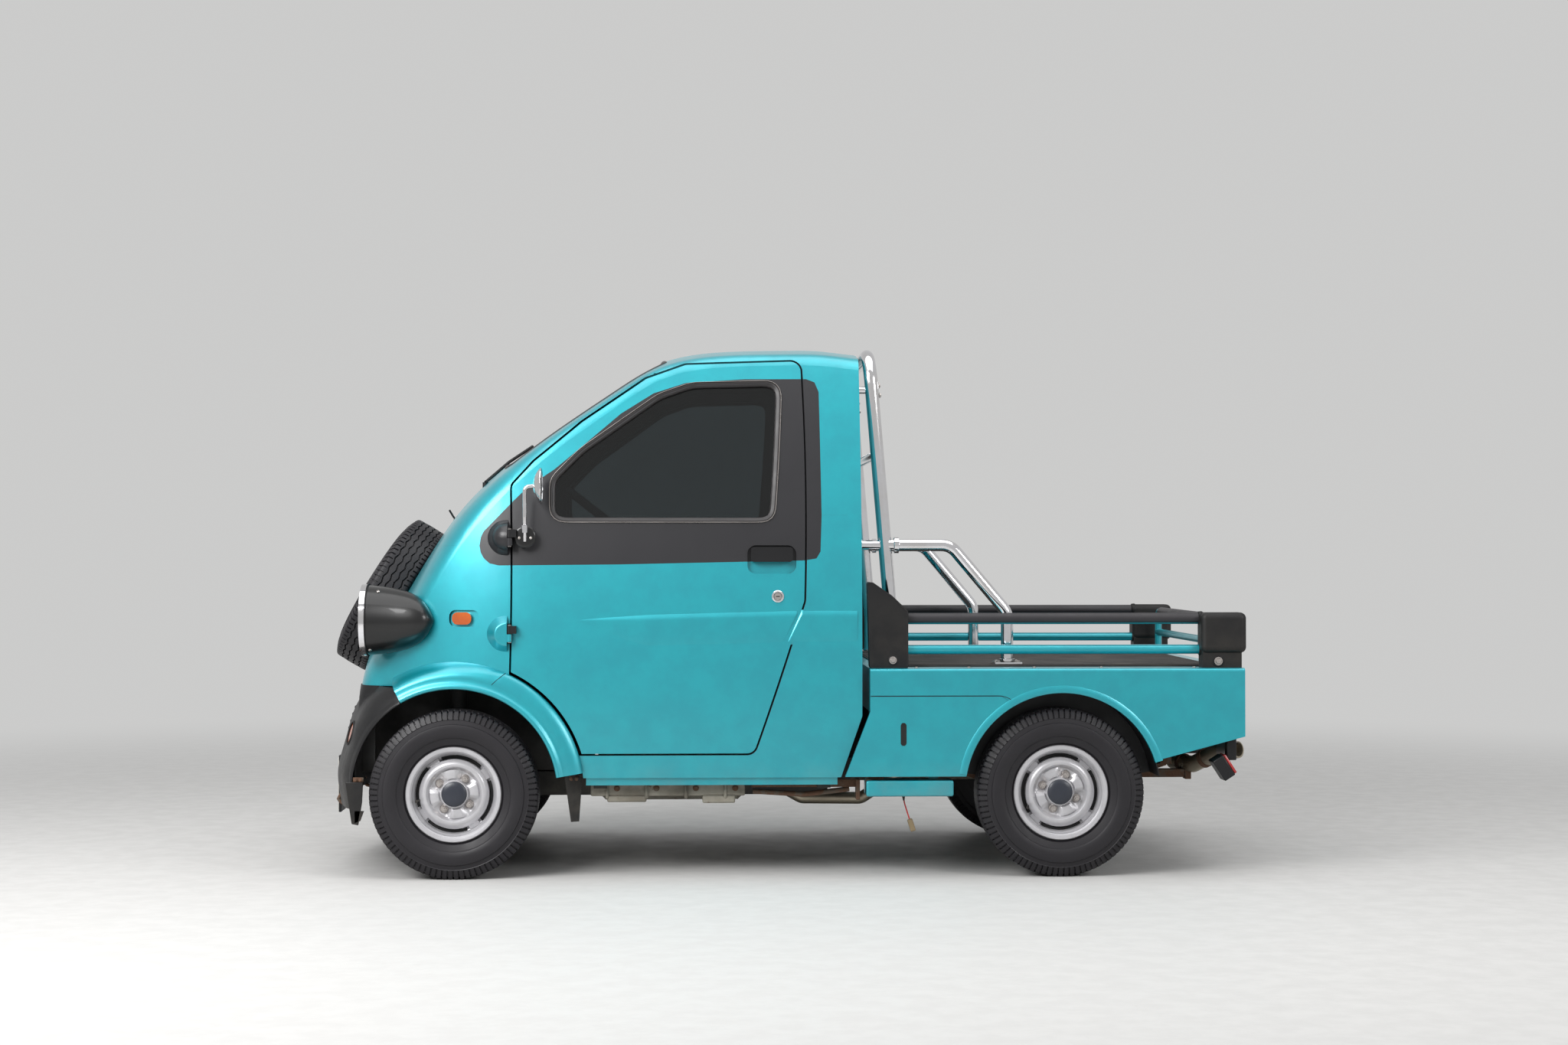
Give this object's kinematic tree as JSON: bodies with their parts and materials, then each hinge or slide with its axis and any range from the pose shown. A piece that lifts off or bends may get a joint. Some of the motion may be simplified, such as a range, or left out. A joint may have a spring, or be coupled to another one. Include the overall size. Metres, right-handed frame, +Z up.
{
  "type": "kei pick-up truck",
  "caption": "Small single-seat pick-up with a raked cab, spare wheel on the nose, pipe-railed flat deck and roll hoop; doors, steering, wheels and tailgate move.",
  "frame": {"origin": "centre of the footprint at ground level, under the whole truck", "axes": "+X forwards, +Y to the truck's left, +Z up"},
  "size_m": [2.8594, 1.378, 1.6407],
  "materials": {
    "paint": "metallic turquoise paint, clear coated",
    "glass": "dark tinted, smooth",
    "trim": "grained black, matte",
    "pod": "glossy black",
    "chrome": "polished, mirror bright",
    "lens": "clear lens",
    "amber": "amber lens plastic",
    "red_lens": "red lens plastic",
    "tyre": "black rubber, lightly dusty",
    "wheel_steel": "light silver grey wheel paint",
    "black_metal": "black chassis paint, dusty and rusty at edges",
    "cast": "dirty casting",
    "rubber": "matte black rubber",
    "interior": "dark grey grained",
    "fabric": "dark woven seat cloth",
    "steel": "dull steel with surface rust",
    "red_wire": "red insulation"
  },
  "bodies": {
    "chassis": {"frame_rails": "black_metal", "front_crossmember": "black_metal", "cab_nose": "paint", "cab_roof": "paint", "cab_sides": "paint", "cab_rear_wall": "paint", "cab_floor": "interior", "windshield": "glass", "rear_window": "glass", "front_bumper": "trim", "arch_flares": "paint", "headlamp_pods": "pod", "headlamp_rims": "chrome", "headlamp_lenses": "lens", "side_lamps": "amber", "spare_tyre": "tyre", "spare_rim": "wheel_steel", "wipers": "trim", "dashboard": "interior", "seat": "fabric", "power_unit": "cast", "bed_sides": "paint", "bed_ends": "paint", "bed_deck": "paint", "deck_mat": "rubber", "side_rails": "paint", "rail_sleeves": "trim", "rail_corners": "trim", "roll_hoop": "chrome", "step_box": "paint", "exhaust": "steel", "rear_lamps": "red_lens", "rear_axle": "black_metal", "leaf_springs": "black_metal", "fuel_tank": "black_metal", "mud_flaps": "rubber", "door_hinges": "paint", "red_lead": "red_wire", "lead_plug": "trim"},
    "gate": {"tail_gate": "paint", "gate_sleeve": "trim"},
    "steering": {"steering_wheel": "interior"},
    "knuckle_left": {"knuckle_left": "black_metal"},
    "knuckle_right": {"knuckle_right": "black_metal"},
    "door_left": {"door_left": "paint", "door_glass_left": "glass", "door_fittings_left": "trim", "mirror_left": "chrome"},
    "wheel_front_left": {"tyre_front_left": "tyre", "rim_front_left": "wheel_steel"},
    "wheel_rear_left": {"tyre_rear_left": "tyre", "rim_rear_left": "wheel_steel"},
    "door_right": {"door_right": "paint", "door_glass_right": "glass", "door_fittings_right": "trim", "mirror_right": "chrome"},
    "wheel_front_right": {"tyre_front_right": "tyre", "rim_front_right": "wheel_steel"},
    "wheel_rear_right": {"tyre_rear_right": "tyre", "rim_rear_right": "wheel_steel"}
  },
  "joints": [
    {"name": "door_left_hinge", "type": "hinge", "parent": "chassis", "child": "door_left", "pos_m": [0.831, 0.631, 0.886], "axis": [0, 0, -1], "range_deg": [0, 65]},
    {"name": "door_right_hinge", "type": "hinge", "parent": "chassis", "child": "door_right", "pos_m": [0.831, -0.631, 0.886], "axis": [0, 0, 1], "range_deg": [0, 65]},
    {"name": "steer_left", "type": "hinge", "parent": "chassis", "child": "knuckle_left", "pos_m": [1, 0.5, 0.185], "axis": [0, -0.1752, 0.9845], "range_deg": [-34, 34]},
    {"name": "steer_right", "type": "hinge", "parent": "chassis", "child": "knuckle_right", "pos_m": [1, -0.5, 0.185], "axis": [0, 0.1752, 0.9845], "range_deg": [-34, 34]},
    {"name": "steering_wheel_turn", "type": "hinge", "parent": "chassis", "child": "steering", "pos_m": [0.545, 0, 1.08], "axis": [-0.6157, 0, 0.788], "range_deg": [-520, 520]},
    {"name": "gate_fold", "type": "hinge", "parent": "chassis", "child": "gate", "pos_m": [-1.352, 0, 0.652], "axis": [0, -1, 0], "range_deg": [0, 90]},
    {"name": "wheel_front_left_spin", "type": "hinge", "parent": "knuckle_left", "child": "wheel_front_left", "pos_m": [1, 0.555, 0.256], "axis": [0, 1, 0], "continuous": true},
    {"name": "wheel_front_right_spin", "type": "hinge", "parent": "knuckle_right", "child": "wheel_front_right", "pos_m": [1, -0.555, 0.256], "axis": [0, 1, 0], "continuous": true},
    {"name": "wheel_rear_left_spin", "type": "hinge", "parent": "chassis", "child": "wheel_rear_left", "pos_m": [-0.84, 0.555, 0.256], "axis": [0, 1, 0], "continuous": true},
    {"name": "wheel_rear_right_spin", "type": "hinge", "parent": "chassis", "child": "wheel_rear_right", "pos_m": [-0.84, -0.555, 0.256], "axis": [0, 1, 0], "continuous": true}
  ],
  "couplings": [
    {"joint": "steer_right", "follows": "steer_left", "ratio": 1},
    {"joint": "steering_wheel_turn", "follows": "steer_left", "ratio": 15}
  ]
}
